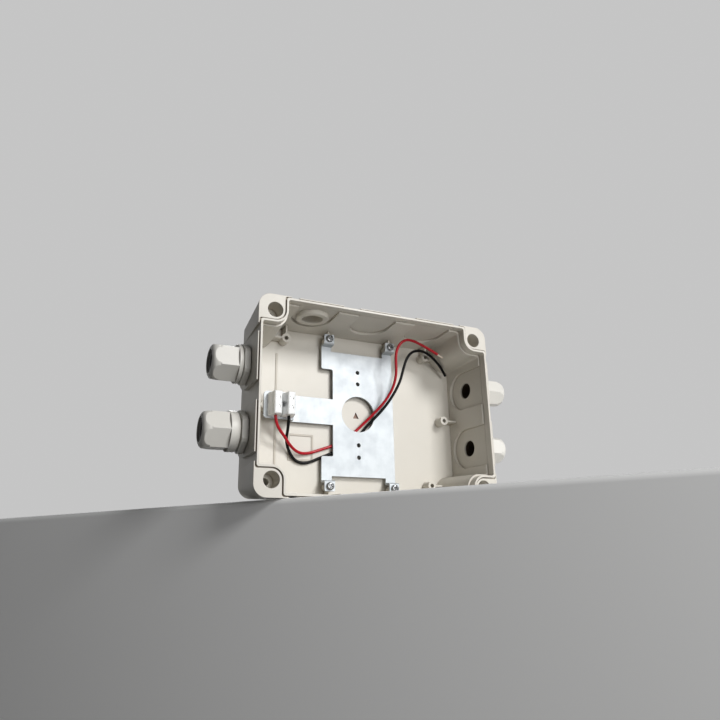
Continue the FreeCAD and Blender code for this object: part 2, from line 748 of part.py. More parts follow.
black_route = [
    (-61.0, 31.2, 64.2), (-61.0, 31.2, 59.4), (-60.7, 33.2, 54.6), (-59.9, 37.0, 50.8), (-59.4, 41.2, 46.4),
    (-57.0, 44.0, 40.0), (-52.8, 45.2, 33.6), (-48.6, 45.7, 30.9), (-43.4, 45.8, 30.1), (-37.6, 45.8, 31.8),
    (-30.8, 45.8, 35.0), (-20.4, 45.8, 39.2), (-8.4, 45.8, 44.6), (3.6, 45.9, 55.6), (8.6, 43.9, 62.2),
    (13.2, 40.8, 67.6), (20.0, 37.2, 75.4), (27.0, 34.0, 86.2), (32.4, 31.8, 97.2), (35.0, 30.6, 107.4),
    (37.8, 30.3, 115.8), (42.6, 30.9, 122.4), (49.8, 31.8, 125.8), (58.4, 33.1, 125.6), (66.8, 35.1, 122.0),
    (73.6, 37.2, 117.5), (78.6, 39.2, 113.2), (82.0, 41.0, 109.8),
]


def wire_path(route):
    points = [at(*point) for point in route]
    edges = []
    radii = []
    length = 0
    start = points[0]
    for before, corner, after in zip(points, points[1:], points[2:]):
        back = (before - corner)
        ahead = (after - corner)
        shorter = min(back.Length, ahead.Length)
        back.normalize()
        ahead.normalize()
        half_turn = (math.pi - back.getAngle(ahead)) / 2
        cut = 0.45 * shorter
        radius = cut / math.tan(half_turn)
        inward = (back + ahead).normalize()
        middle = corner + inward * (radius / math.cos(half_turn) - radius)
        first = corner + back * cut
        last = corner + ahead * cut
        edges.append(Part.LineSegment(start, first).toShape())
        edges.append(Part.Arc(first, middle, last).toShape())
        length += start.distanceToPoint(first) + radius * 2 * half_turn
        radii.append(round(radius, 1))
        start = last
    edges.append(Part.LineSegment(start, points[-1]).toShape())
    length += start.distanceToPoint(points[-1])
    return Part.Wire(edges), length, radii


def make_wire(label, route):
    path, length, radii = wire_path(route)
    first = at(*route[0])
    heading = (at(*route[1]) - first).normalize()
    section = Part.Wire(Part.makeCircle(wire_radius, first, heading))
    tube = path.makePipeShell([section], True, False)
    ratio = tube.Volume / (math.pi * wire_radius ** 2 * length)
    print(label, "length", round(length, 1), "volume ratio", round(ratio, 4), "radii", radii)
    save(label + "_wire", tube)
    core_start = at(*route[0])
    clamped = Part.makeCylinder(core_radius, clamped_core_length, core_start, Vector(0, 0, 1))
    cores = [clamped]
    if label == "red":
        end = at(*route[-1])
        heading = (end - at(*route[-2])).normalize()
        cores.append(Part.makeCylinder(core_radius, bare_tip_length, end, heading))
    save(label + "_wire_core", Part.makeCompound(cores))


save("enclosure_base", make_base())
save("mounting_plate", make_plate())
for across, sx in (("left", -1), ("right", 1)):
    for height, sz in (("upper", 1), ("lower", -1)):
        screw = make_plate_screw(sx * plate_screw_x, mid_z + sz * plate_screw_z)
        save("plate_screw_" + across + "_" + height, screw)
lower_entry_z = mid_z - side_entry_pitch / 2
upper_entry_z = mid_z + side_entry_pitch / 2
make_gland("left_lower", -1, lower_entry_z, large_gland, 0.9, 6.2, -3)
make_gland("left_upper", -1, upper_entry_z, large_gland, 0.3, 3.0, -21)
make_gland("right_upper", 1, upper_entry_z, small_gland, 0.9, 7.2, 4)
make_gland("right_lower", 1, lower_entry_z, small_gland, 0.3, 4.0, 22)
make_plug()
make_terminal_block()
make_wire("red", red_route)
make_wire("black", black_route)

for name, shape in built:
    print(name, "solids", len(shape.Solids), "valid", shape.isValid(), "volume", round(shape.Volume, 1))
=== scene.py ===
import json
import math

import bpy
from mathutils import Matrix, Vector


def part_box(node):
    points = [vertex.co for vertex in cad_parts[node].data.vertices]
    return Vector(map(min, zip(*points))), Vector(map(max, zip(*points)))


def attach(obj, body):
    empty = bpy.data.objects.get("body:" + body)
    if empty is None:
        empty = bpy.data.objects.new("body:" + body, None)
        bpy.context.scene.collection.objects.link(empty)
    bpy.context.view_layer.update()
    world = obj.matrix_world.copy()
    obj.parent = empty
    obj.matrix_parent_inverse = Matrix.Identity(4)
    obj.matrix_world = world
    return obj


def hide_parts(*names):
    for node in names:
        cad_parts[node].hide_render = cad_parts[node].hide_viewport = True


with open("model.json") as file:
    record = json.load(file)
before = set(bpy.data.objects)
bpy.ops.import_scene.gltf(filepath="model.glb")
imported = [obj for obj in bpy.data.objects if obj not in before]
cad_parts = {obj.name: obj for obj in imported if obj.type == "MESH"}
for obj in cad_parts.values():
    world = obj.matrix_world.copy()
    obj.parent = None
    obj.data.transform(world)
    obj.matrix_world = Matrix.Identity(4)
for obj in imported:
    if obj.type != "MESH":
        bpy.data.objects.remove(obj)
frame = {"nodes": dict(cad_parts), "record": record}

scene = bpy.context.scene
nodes = frame["nodes"]
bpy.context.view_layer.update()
print("frame loaded:", len(nodes), "nodes")

# Depths count from the front plane of the corner pads, and the rim's tongue stands before it
tongueRise = 0.001
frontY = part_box("enclosure_base")[0].y + tongueRise


def placed(x, depth, z):
    # millimetres across, back from the front plane and up, as a place in the frame
    return (x / 1000, frontY + depth / 1000, z / 1000)


def clearSelection():
    for item in bpy.context.selected_objects:
        item.select_set(False)


def selectOnly(piece):
    clearSelection()
    piece.select_set(True)
    bpy.context.view_layer.objects.active = piece


# Camera, low and to the left, looking up at the open box
cameraSetup = {
    "place": (-0.210247, -0.415065, -0.040400),
    "turn": (107.8291, 1.0316, -25.8073),
    "lens": 31.598,
}


def addCamera():
    data = bpy.data.cameras.new("camera")
    data.lens = cameraSetup["lens"]
    data.sensor_width = 36.0
    data.clip_start = 0.01
    camera = bpy.data.objects.new("camera", data)
    camera.location = cameraSetup["place"]
    camera.rotation_euler = [math.radians(angle) for angle in cameraSetup["turn"]]
    scene.collection.objects.link(camera)
    scene.camera = camera


addCamera()
print("camera set")

# The two wires, as control points (x, depth, z) in millimetres
redWire = {
    "thickness": 0.0022,
    "length": 0.2129,
    "points": [
        (-71.0, 31.2, 64.2), (-71.0, 31.2, 59.2), (-69.6, 32.0, 54.6), (-66.8, 33.7, 51.0),
        (-62.6, 36.4, 47.8), (-57.8, 39.8, 43.0), (-52.4, 42.2, 38.8), (-46.4, 44.3, 37.0),
        (-39.4, 45.5, 37.9), (-31.0, 45.8, 40.9), (-20.4, 45.8, 44.6), (-10.2, 45.8, 49.2),
        (-1.6, 45.6, 56.6), (5.0, 43.0, 63.4), (12.4, 38.6, 71.4), (20.4, 33.6, 81.4),
        (25.0, 29.4, 91.6), (26.2, 26.2, 102.4), (24.6, 24.2, 112.4), (25.2, 23.0, 120.2),
        (28.6, 22.2, 126.4), (34.2, 22.0, 129.8), (40.8, 22.3, 129.6), (47.4, 22.9, 127.8),
        (55.6, 23.8, 125.2), (64.4, 24.6, 121.8),
    ],
}
blackWire = {
    "thickness": 0.0022,
    "length": 0.2270,
    "points": [
        (-61.0, 31.2, 64.2), (-61.0, 31.2, 59.4), (-60.7, 33.2, 54.6), (-59.9, 37.0, 50.8),
        (-59.4, 41.2, 46.4), (-57.0, 44.0, 40.0), (-52.8, 45.2, 33.6), (-48.6, 45.7, 30.9),
        (-43.4, 45.8, 30.1), (-37.6, 45.8, 31.8), (-30.8, 45.8, 35.0), (-20.4, 45.8, 39.2),
        (-8.4, 45.8, 44.6), (3.6, 45.9, 55.6), (8.6, 43.9, 62.2), (13.2, 40.8, 67.6),
        (20.0, 37.2, 75.4), (27.0, 34.0, 86.2), (32.4, 31.8, 97.2), (35.0, 30.6, 107.4),
        (37.8, 30.3, 115.8), (42.6, 30.9, 122.4), (49.8, 31.8, 125.8), (58.4, 33.1, 125.6),
        (66.8, 35.1, 122.0), (73.6, 37.2, 117.5), (78.6, 39.2, 113.2), (82.0, 41.0, 109.8),
    ],
}


def addWire(name, wire, node):
    curve = bpy.data.curves.new(name, "CURVE")
    curve.dimensions = "3D"
    curve.resolution_u = 8
    curve.bevel_depth = 1.0  # each point's radius is then the wire's own
    curve.bevel_resolution = 5
    curve.use_fill_caps = True
    spline = curve.splines.new("NURBS")
    spline.points.add(len(wire["points"]) - 1)
    for point, place in zip(spline.points, wire["points"]):
        point.co = (*placed(*place), 1)
        point.radius = wire["thickness"] / 2
    spline.order_u = 3
    spline.use_endpoint_u = True
    piece = bpy.data.objects.new(name, curve)
    scene.collection.objects.link(piece)
    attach(piece, "box")
    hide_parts(node)
    return piece


redPiece = addWire("redLead", redWire, "red_wire")
blackPiece = addWire("blackLead", blackWire, "black_wire")
print("wires laid")

# Cap nuts and seals of the four glands in millimetres, with places along the axis out from the wall
glandShapes = {
    "large": {
        "cap": 13.9, "base": 12.7, "nose": 13.3, "noseEnd": 9.3, "mouth": 8.4, "across": 24.0,
        "flats": 12.3, "neck": 11.5, "throat": 9.2, "seal": 8.9, "sealBore": 4.5, "flange": 4.7},
    "small": {
        "cap": 11.2, "base": 10.1, "nose": 10.75, "noseEnd": 7.5, "mouth": 6.7, "across": 19.6,
        "flats": 11.5, "neck": 9.3, "throat": 7.4, "seal": 7.1, "sealBore": 3.5, "flange": 4.5},
}
glandPlaces = {
    "left_lower": {"shape": "large", "side": -1, "height": 46.0, "gap": 0.9, "collar": 6.2, "turn": -3},
    "left_upper": {"shape": "large", "side": -1, "height": 94.0, "gap": 0.3, "collar": 3.0, "turn": -21},
    "right_upper": {"shape": "small", "side": 1, "height": 94.0, "gap": 0.9, "collar": 7.2, "turn": 4},
    "right_lower": {"shape": "small", "side": 1, "height": 46.0, "gap": 0.3, "collar": 4.0, "turn": 22},
}
glandAxis = {"wall": 95.0, "depth": 26.5, "sides": 96}
capDetail = {
    "noseLength": 5.9, "noseSteps": 8, "noseReach": 0.96, "noseCurve": 2.2, "noseLip": 0.4,
    "lipRound": 0.1,
    "overlap": 0.5, "neckRoom": 0.2,  # how far the grip reaches into the collar, and its room at the neck
    "mouthEdge": 0.3, "mouthFlare": 0.2, "mouthDepth": 1.4, "throatDepth": 11.4,  # depths from the nose's end
    "footStep": 0.35, "footFlare": 0.75, "footEnd": 1.2,  # the rounded foot of the collar
    "edge": 0.3, "edgeAngle": 32, "smoothAngle": 30,
}
sealDetail = {
    "start": 6.5, "taper": 11.7, "smoothAngle": 50,
    "rim": [(1.7, -0.1), (1.3, -0.4), (1.2, -0.9)],  # depth from the nose's end, added to the mouth's radius
    "lip": [(1.3, 1.2), (1.7, 0.5), (2.6, 0.0)],  # depth from the nose's end, added to the bore's radius
}


def latheRings(name, rings):
    # drawn out along z from circle to circle, and closed on the first one
    clearSelection()
    bpy.ops.mesh.primitive_circle_add(vertices=glandAxis["sides"], radius=rings[0][1] / 1000)
    piece = bpy.context.object
    piece.name = name
    bpy.ops.object.mode_set(mode="EDIT")
    bpy.ops.mesh.select_all(action="SELECT")
    bpy.ops.transform.translate(value=(0, 0, rings[0][0] / 1000))
    for (lastPlace, lastRadius), (place, radius) in zip(rings, rings[1:] + rings[:1]):
        step = (0, 0, (place - lastPlace) / 1000)
        bpy.ops.mesh.extrude_region_move(TRANSFORM_OT_translate={"value": step})
        size = radius / lastRadius
        bpy.ops.transform.resize(value=(size, size, 1), center_override=(0, 0, place / 1000))
    bpy.ops.mesh.select_all(action="SELECT")
    bpy.ops.mesh.remove_doubles(threshold=1e-6)
    bpy.ops.mesh.normals_make_consistent(inside=False)
    bpy.ops.object.mode_set(mode="OBJECT")
    return piece


def cutFlats(piece, across, turn):
    # six planes slice the turned shape into a hexagon, right through its nose
    bpy.ops.object.mode_set(mode="EDIT")
    for facet in range(6):
        angle = math.radians(turn + 30 + 60 * facet)
        facing = Vector((math.cos(angle), math.sin(angle), 0))
        bpy.ops.mesh.select_all(action="SELECT")
        bpy.ops.mesh.bisect(
            plane_co=facing * across / 2000, plane_no=facing, use_fill=True, clear_outer=True)
    bpy.ops.object.mode_set(mode="OBJECT")


def setOnWall(piece, place):
    # z of the turned shape points out of the wall, x points to the front
    side = place["side"]
    x, y, z = placed(side * glandAxis["wall"], glandAxis["depth"], place["height"])
    piece.matrix_world = Matrix(((0, 0, side, x), (-1, 0, 0, y), (0, -side, 0, z), (0, 0, 0, 1)))
    selectOnly(piece)
    bpy.ops.object.transform_apply(location=True, rotation=True, scale=True)


def applyModifier(piece, kind, **values):
    modifier = piece.modifiers.new(kind.lower(), kind)
    for key, value in values.items():
        setattr(modifier, key, value)
    selectOnly(piece)
    bpy.ops.object.modifier_apply(modifier=modifier.name)


def noseEndPlace(place, shape):
    return shape["flange"] + place["gap"] + place["collar"] + shape["flats"] + capDetail["noseLength"]


def addCap(place, shape):
    start = shape["flange"] + place["gap"]
    collarEnd = start + place["collar"]
    flatsEnd = collarEnd + shape["flats"]
    end = noseEndPlace(place, shape)
    nose = []
    for step in range(capDetail["noseSteps"] + 1):
        along = step / capDetail["noseSteps"]
        fullness = math.sqrt(1 - (capDetail["noseReach"] * along) ** capDetail["noseCurve"])
        radius = shape["noseEnd"] + (shape["nose"] - shape["noseEnd"]) * fullness
        nose.append((flatsEnd + along * (capDetail["noseLength"] - capDetail["noseLip"]), radius))
    gripStart = collarEnd - capDetail["overlap"]
    grip = latheRings("grip", [
        (gripStart, shape["neck"] + capDetail["neckRoom"]), (gripStart, shape["cap"]),
        (flatsEnd, shape["cap"]), *nose,
        (end, shape["noseEnd"] + capDetail["lipRound"]), (end, shape["mouth"] + capDetail["mouthFlare"]),
        (end - capDetail["mouthEdge"], shape["mouth"]), (end - capDetail["mouthDepth"], shape["mouth"]),
        (end - capDetail["throatDepth"], shape["throat"]), (end - capDetail["throatDepth"], shape["neck"]),
        (collarEnd, shape["neck"]),
    ])
    cutFlats(grip, shape["across"], place["turn"])
    cap = latheRings("cap", [
        (start, shape["neck"]), (start, shape["base"]),
        (start + capDetail["footStep"], shape["base"] + capDetail["footFlare"]),
        (start + capDetail["footEnd"], shape["cap"]), (collarEnd, shape["cap"]), (collarEnd, shape["neck"]),
    ])
    applyModifier(cap, "BOOLEAN", operation="UNION", solver="EXACT", object=grip)
    bpy.data.objects.remove(grip)
    applyModifier(cap, "BEVEL", width=capDetail["edge"] / 1000, segments=2, limit_method="ANGLE",
                  angle_limit=math.radians(capDetail["edgeAngle"]))
    bpy.ops.object.shade_smooth_by_angle(angle=math.radians(capDetail["smoothAngle"]))
    for face in cap.data.polygons:
        upright = abs(face.normal.z) < 0.01
        if upright and abs(face.center.dot(face.normal) * 2000 - shape["across"]) < 0.1:
            face.use_smooth = False  # the flats stay flat
    return cap


def addSeal(place, shape):
    end = noseEndPlace(place, shape)
    rings = [
        (sealDetail["start"], shape["sealBore"]), (sealDetail["start"], shape["seal"]),
        (end - sealDetail["taper"], shape["seal"]),
    ]
    rings += [(end - down, shape["mouth"] + added) for down, added in sealDetail["rim"]]
    rings += [(end - down, shape["sealBore"] + added) for down, added in sealDetail["lip"]]
    seal = latheRings("seal", rings)
    bpy.ops.object.shade_smooth_by_angle(angle=math.radians(sealDetail["smoothAngle"]))
    return seal


glandPieces = []
for where, glandPlace in glandPlaces.items():
    sizes = glandShapes[glandPlace["shape"]]
    for part, make, slotName in (("cap", addCap, "gland_plastic"), ("seal", addSeal, "sealing_rubber")):
        piece = make(glandPlace, sizes)
        setOnWall(piece, glandPlace)
        piece.name = part + where.title().replace("_", "")
        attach(piece, "cap_" + where if part == "cap" else "box")
        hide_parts("gland_%s_%s" % (part, where))
        glandPieces.append((piece, "glandPlastic" if part == "cap" else "sealRubber"))
print("gland caps and seals made")


# Shared shader groups
def newGroup(name, inputs, outputs):
    group = bpy.data.node_groups.new(name, "ShaderNodeTree")
    for label, value in inputs:
        kind = "NodeSocketColor" if isinstance(value, tuple) else "NodeSocketFloat"
        socket = group.interface.new_socket(name=label, in_out="INPUT", socket_type=kind)
        socket.default_value = value
    for label, kind in outputs:
        group.interface.new_socket(name=label, in_out="OUTPUT", socket_type=kind)
    start = group.nodes.new("NodeGroupInput")
    end = group.nodes.new("NodeGroupOutput")
    return group, start, end


def addNode(tree, kind, **values):
    node = tree.nodes.new(kind)
    for key, value in values.items():
        setattr(node, key, value)
    return node


def mathNode(tree, operation, first, second=None):
    node = addNode(tree, "ShaderNodeMath", operation=operation)
    for index, value in enumerate((first, second)):
        if value is None:
            continue
        if isinstance(value, (int, float)):
            node.inputs[index].default_value = value
        else:
            tree.links.new(value, node.inputs[index])
    return node.outputs[0]


def noiseNode(tree, vector, scale, detail=3.0, rough=0.55):
    node = addNode(tree, "ShaderNodeTexNoise")
    node.inputs["Detail"].default_value = detail
    node.inputs["Roughness"].default_value = rough
    if isinstance(scale, (int, float)):
        node.inputs["Scale"].default_value = scale
    else:
        tree.links.new(scale, node.inputs["Scale"])
    tree.links.new(vector, node.inputs["Vector"])
    return node.outputs["Fac"]


def remap(tree, value, low, high, toLow=0.0, toHigh=1.0):
    node = addNode(tree, "ShaderNodeMapRange", clamp=True)
    tree.links.new(value, node.inputs["Value"])
    for label, number in (("From Min", low), ("From Max", high), ("To Min", toLow), ("To Max", toHigh)):
        if isinstance(number, (int, float)):
            node.inputs[label].default_value = number
        else:
            tree.links.new(number, node.inputs[label])
    return node.outputs["Result"]


def mixColour(tree, factor, first, second):
    # sockets 0, 6 and 7 are the factor and the two colours
    node = addNode(tree, "ShaderNodeMix", data_type="RGBA")
    for index, value in ((0, factor), (6, first), (7, second)):
        if isinstance(value, (int, float, tuple)):
            node.inputs[index].default_value = value
        else:
            tree.links.new(value, node.inputs[index])
    return node.outputs[2]


def makeMouldedGroup():
    # a moulded surface: fine spark texture, faint clouding and a few rubs from handling
    group, start, end = newGroup(
        "mouldedSurface",
        [("Colour", (0.7, 0.7, 0.7, 1)), ("Cloud Colour", (0.6, 0.6, 0.6, 1)), ("Texture Scale", 1500.0),
         ("Gloss Low", 0.4), ("Gloss High", 0.5), ("Rubs", 0.3)],
        [("Colour", "NodeSocketColor"), ("Roughness", "NodeSocketFloat"), ("Height", "NodeSocketFloat")],
    )
    place = addNode(group, "ShaderNodeTexCoord").outputs["Object"]
    cloud = remap(group, noiseNode(group, place, 22.0, 4.0, 0.6), 0.35, 0.7)
    colour = mixColour(group, cloud, start.outputs["Colour"], start.outputs["Cloud Colour"])
    stretch = addNode(group, "ShaderNodeMapping")
    stretch.inputs["Rotation"].default_value = (0.4, 0.9, 0.3)
    stretch.inputs["Scale"].default_value = (30, 30, 900)
    group.links.new(place, stretch.inputs["Vector"])
    rub = remap(group, noiseNode(group, stretch.outputs[0], 1.0, 2.0), 0.66, 0.74)
    patch = remap(group, noiseNode(group, place, 60.0, 2.0), 0.52, 0.66)
    marks = mathNode(group, "MULTIPLY", mathNode(group, "MULTIPLY", rub, patch), start.outputs["Rubs"])
    gloss = remap(group, cloud, 0.0, 1.0, start.outputs["Gloss Low"], start.outputs["Gloss High"])
    grain = noiseNode(group, place, start.outputs["Texture Scale"], 2.0)
    height = mathNode(group, "ADD", grain, mathNode(group, "MULTIPLY", marks, -0.6))
    group.links.new(colour, end.inputs["Colour"])
    rubbed = mathNode(group, "SUBTRACT", gloss, mathNode(group, "MULTIPLY", marks, 0.12))
    group.links.new(rubbed, end.inputs["Roughness"])
    group.links.new(height, end.inputs["Height"])
    return group


def makeRolledGroup():
    # rolled and plated metal: streaks along one direction, plating mottle and hairline scratches
    group, start, end = newGroup(
        "platedMetal",
        [("Colour", (0.8, 0.8, 0.8, 1)), ("Mottle Colour", (0.7, 0.7, 0.75, 1)), ("Streak Across", 1400.0),
         ("Streak Along", 20.0), ("Gloss Low", 0.2), ("Gloss High", 0.35)],
        [("Colour", "NodeSocketColor"), ("Roughness", "NodeSocketFloat"), ("Height", "NodeSocketFloat")],
    )
    place = addNode(group, "ShaderNodeTexCoord").outputs["Object"]
    parts = addNode(group, "ShaderNodeSeparateXYZ")
    group.links.new(place, parts.inputs[0])
    joined = addNode(group, "ShaderNodeCombineXYZ")
    for axis, label in enumerate(("Streak Across", "Streak Across", "Streak Along")):
        stretched = mathNode(group, "MULTIPLY", parts.outputs[axis], start.outputs[label])
        group.links.new(stretched, joined.inputs[axis])
    streak = noiseNode(group, joined.outputs[0], 1.0, 3.0)
    mottle = remap(group, noiseNode(group, place, 90.0, 5.0, 0.65), 0.38, 0.66)
    turned = addNode(group, "ShaderNodeMapping")
    turned.inputs["Rotation"].default_value = (0.2, 1.1, 0.5)
    turned.inputs["Scale"].default_value = (25, 60, 2400)
    group.links.new(place, turned.inputs["Vector"])
    scratch = remap(group, noiseNode(group, turned.outputs[0], 1.0, 1.0), 0.71, 0.74)
    colour = mixColour(group, mottle, start.outputs["Colour"], start.outputs["Mottle Colour"])
    halfStreak = mathNode(group, "MULTIPLY", streak, 0.5)
    level = mathNode(group, "ADD", halfStreak, mathNode(group, "MULTIPLY", mottle, 0.5))
    gloss = remap(group, level, 0.25, 0.75, start.outputs["Gloss Low"], start.outputs["Gloss High"])
    height = mathNode(group, "SUBTRACT", streak, mathNode(group, "MULTIPLY", scratch, 0.8))
    group.links.new(colour, end.inputs["Colour"])
    group.links.new(gloss, end.inputs["Roughness"])
    group.links.new(height, end.inputs["Height"])
    return group


def makeEdgeGroup():
    # softened edges: a rounded normal, a mask that is 1 along the sharp edges, and one for inner corners
    # where shade is painted
    group, start, end = newGroup(
        "softEdges", [("Radius", 0.0004), ("Corner Reach", 0.002)],
        [("Normal", "NodeSocketVector"), ("Edge", "NodeSocketFloat"), ("Corner", "NodeSocketFloat")],
    )
    bevel = addNode(group, "ShaderNodeBevel", samples=6)
    group.links.new(start.outputs["Radius"], bevel.inputs["Radius"])
    flat = addNode(group, "ShaderNodeNewGeometry")
    compare = addNode(group, "ShaderNodeVectorMath", operation="DOT_PRODUCT")
    group.links.new(bevel.outputs[0], compare.inputs[0])
    group.links.new(flat.outputs["Normal"], compare.inputs[1])
    edge = remap(group, compare.outputs["Value"], 0.985, 0.85)
    group.links.new(bevel.outputs[0], end.inputs["Normal"])
    group.links.new(edge, end.inputs["Edge"])
    # ambient occlusion marks inner corners and creases for painted shade
    corner = addNode(group, "ShaderNodeAmbientOcclusion", samples=8, only_local=True)
    group.links.new(start.outputs["Corner Reach"], corner.inputs["Distance"])
    group.links.new(remap(group, corner.outputs["AO"], 0.72, 0.40), end.inputs["Corner"])
    return group


mouldedGroup = makeMouldedGroup()
platedGroup = makeRolledGroup()
edgeGroup = makeEdgeGroup()


def newMaterial(name):
    material = bpy.data.materials.new(name)
    material.use_nodes = True
    tree = material.node_tree
    return material, tree, tree.nodes["Principled BSDF"]


def useGroup(tree, shader, group, values, relief, edge, paintedCornerShade=None):
    node = tree.nodes.new("ShaderNodeGroup")
    node.node_tree = group
    for label, value in values.items():
        node.inputs[label].default_value = value
    edges = tree.nodes.new("ShaderNodeGroup")
    edges.node_tree = edgeGroup
    edges.inputs["Radius"].default_value = edge["radius"]
    wearAndCornerShade = mixColour(tree, edges.outputs["Edge"], node.outputs["Colour"], edge["tint"])
    # painted shade darkens the inner corners and creases
    if paintedCornerShade:
        wearAndCornerShade = mixColour(tree, edges.outputs["Corner"], wearAndCornerShade, paintedCornerShade)
    tree.links.new(wearAndCornerShade, shader.inputs["Base Color"])
    tree.links.new(node.outputs["Roughness"], shader.inputs["Roughness"])
    bump = tree.nodes.new("ShaderNodeBump")
    bump.inputs["Strength"].default_value = relief["strength"]
    bump.inputs["Distance"].default_value = relief["distance"]
    tree.links.new(node.outputs["Height"], bump.inputs["Height"])
    tree.links.new(edges.outputs["Normal"], bump.inputs["Normal"])
    tree.links.new(bump.outputs["Normal"], shader.inputs["Normal"])


mouldedLooks = {
    "boxPlastic": {
        "Colour": (0.640, 0.610, 0.548, 1), "Cloud Colour": (0.620, 0.588, 0.522, 1),
        "Texture Scale": 1700.0, "Gloss Low": 0.38, "Gloss High": 0.47, "Rubs": 0.4},
    "glandPlastic": {
        "Colour": (0.70, 0.685, 0.64, 1), "Cloud Colour": (0.68, 0.66, 0.61, 1), "Texture Scale": 2600.0,
        "Gloss Low": 0.40, "Gloss High": 0.48, "Rubs": 0.5},
    "terminalPlastic": {
        "Colour": (0.83, 0.84, 0.84, 1), "Cloud Colour": (0.80, 0.81, 0.81, 1), "Texture Scale": 3200.0,
        "Gloss Low": 0.24, "Gloss High": 0.32, "Rubs": 0.2},
    "sealRubber": {
        "Colour": (0.022, 0.021, 0.020, 1), "Cloud Colour": (0.034, 0.033, 0.031, 1),
        "Texture Scale": 2200.0, "Gloss Low": 0.48, "Gloss High": 0.62, "Rubs": 0.4},
    "redSheath": {
        "Colour": (0.42, 0.004, 0.014, 1), "Cloud Colour": (0.36, 0.003, 0.011, 1), "Texture Scale": 2600.0,
        "Gloss Low": 0.26, "Gloss High": 0.36, "Rubs": 0.3},
    "blackSheath": {
        "Colour": (0.004, 0.004, 0.0045, 1), "Cloud Colour": (0.006, 0.006, 0.006, 1),
        "Texture Scale": 2600.0, "Gloss Low": 0.42, "Gloss High": 0.52, "Rubs": 0.3},
}
platedLooks = {
    "zincSheet": {
        "Colour": (0.49, 0.515, 0.53, 1), "Mottle Colour": (0.465, 0.49, 0.51, 1), "Streak Across": 900.0,
        "Streak Along": 25.0, "Gloss Low": 0.62, "Gloss High": 0.68},
    "screwSteel": {
        "Colour": (0.30, 0.305, 0.31, 1), "Mottle Colour": (0.24, 0.245, 0.25, 1), "Streak Across": 1400.0,
        "Streak Along": 1400.0, "Gloss Low": 0.20, "Gloss High": 0.28},
    "clampSteel": {
        "Colour": (0.70, 0.71, 0.71, 1), "Mottle Colour": (0.64, 0.65, 0.66, 1), "Streak Across": 1400.0,
        "Streak Along": 1400.0, "Gloss Low": 0.30, "Gloss High": 0.38},
    "brassMetal": {
        "Colour": (0.78, 0.58, 0.28, 1), "Mottle Colour": (0.70, 0.49, 0.22, 1), "Streak Across": 400.0,
        "Streak Along": 3000.0, "Gloss Low": 0.20, "Gloss High": 0.32},
    "tinnedCopper": {
        "Colour": (0.80, 0.76, 0.70, 1), "Mottle Colour": (0.76, 0.58, 0.44, 1), "Streak Across": 1800.0,
        "Streak Along": 1800.0, "Gloss Low": 0.28, "Gloss High": 0.40},
}
mouldedRelief = {"strength": 0.16, "distance": 0.0001}
platedRelief = {"strength": 0.05, "distance": 0.00003}
# painted shade colours for inner corners and creases
paintedCornerShades = {"boxPlastic": (0.34, 0.285, 0.215, 1), "glandPlastic": (0.38, 0.34, 0.28, 1)}
edgeLooks = {
    "boxPlastic": {"radius": 0.00045, "tint": (0.69, 0.66, 0.605, 1)},
    "glandPlastic": {"radius": 0.0005, "tint": (0.77, 0.76, 0.74, 1)},
    "terminalPlastic": {"radius": 0.0009, "tint": (0.84, 0.85, 0.85, 1)},
    "sealRubber": {"radius": 0.0003, "tint": (0.05, 0.049, 0.047, 1)},
    "redSheath": {"radius": 0.0001, "tint": (0.42, 0.02, 0.02, 1)},
    "blackSheath": {"radius": 0.0001, "tint": (0.008, 0.008, 0.008, 1)},
    "zincSheet": {"radius": 0.0002, "tint": (0.66, 0.68, 0.69, 1)},
    "screwSteel": {"radius": 0.0002, "tint": (0.50, 0.51, 0.52, 1)},
    "clampSteel": {"radius": 0.0002, "tint": (0.80, 0.80, 0.80, 1)},
    "brassMetal": {"radius": 0.0002, "tint": (0.86, 0.68, 0.38, 1)},
    "tinnedCopper": {"radius": 0.0001, "tint": (0.84, 0.80, 0.76, 1)},
}
shineLevels = {"redSheath": 0.3, "blackSheath": 0.14, "sealRubber": 0.3}
terminalGlow = {"weight": 0.25, "radius": (0.002, 0.002, 0.002), "scale": 1.0}
finishes = {}


def paintOver(material, inside, colour):
    tree = material.node_tree
    base = tree.nodes["Principled BSDF"].inputs["Base Color"]
    tree.links.new(mixColour(tree, inside, base.links[0].from_socket, colour), base)


# painted shade for the passage through the glands
boreShade = {"colour": (0.045, 0.032, 0.020, 1), "radius": 6.35, "middle": 70.0, "offset": 24.0}


def paintBoreShade(material):
    # painted shade in the passage through a gland, whose axes lie as far above as below the middle height
    tree = material.node_tree
    parts = addNode(tree, "ShaderNodeSeparateXYZ")
    tree.links.new(addNode(tree, "ShaderNodeTexCoord").outputs["Object"], parts.inputs[0])
    across = mathNode(tree, "SUBTRACT", parts.outputs[1], frontY + glandAxis["depth"] / 1000)
    height = mathNode(tree, "SUBTRACT", parts.outputs[2], boreShade["middle"] / 1000)
    height = mathNode(tree, "SUBTRACT", mathNode(tree, "ABSOLUTE", height), boreShade["offset"] / 1000)
    squares = [mathNode(tree, "MULTIPLY", side, side) for side in (across, height)]
    away = mathNode(tree, "SQRT", mathNode(tree, "ADD", *squares))
    paintOver(material, mathNode(tree, "LESS_THAN", away, boreShade["radius"] / 1000), boreShade["colour"])


floorTints = {  # millimetres across, back from the front plane and up
    "gateScar": {
        "colour": (0.20, 0.105, 0.065, 1), "middle": (0.0, 48.3, 70.0), "half": (2.9, 0.9, 2.9)},
    # painted shade on the tops of the low ribs
    "ribTops": {
        "colour": (0.47, 0.43, 0.365, 1), "middle": (-56.0, 46.9, 70.0), "half": (20.0, 0.15, 60.0)},
}


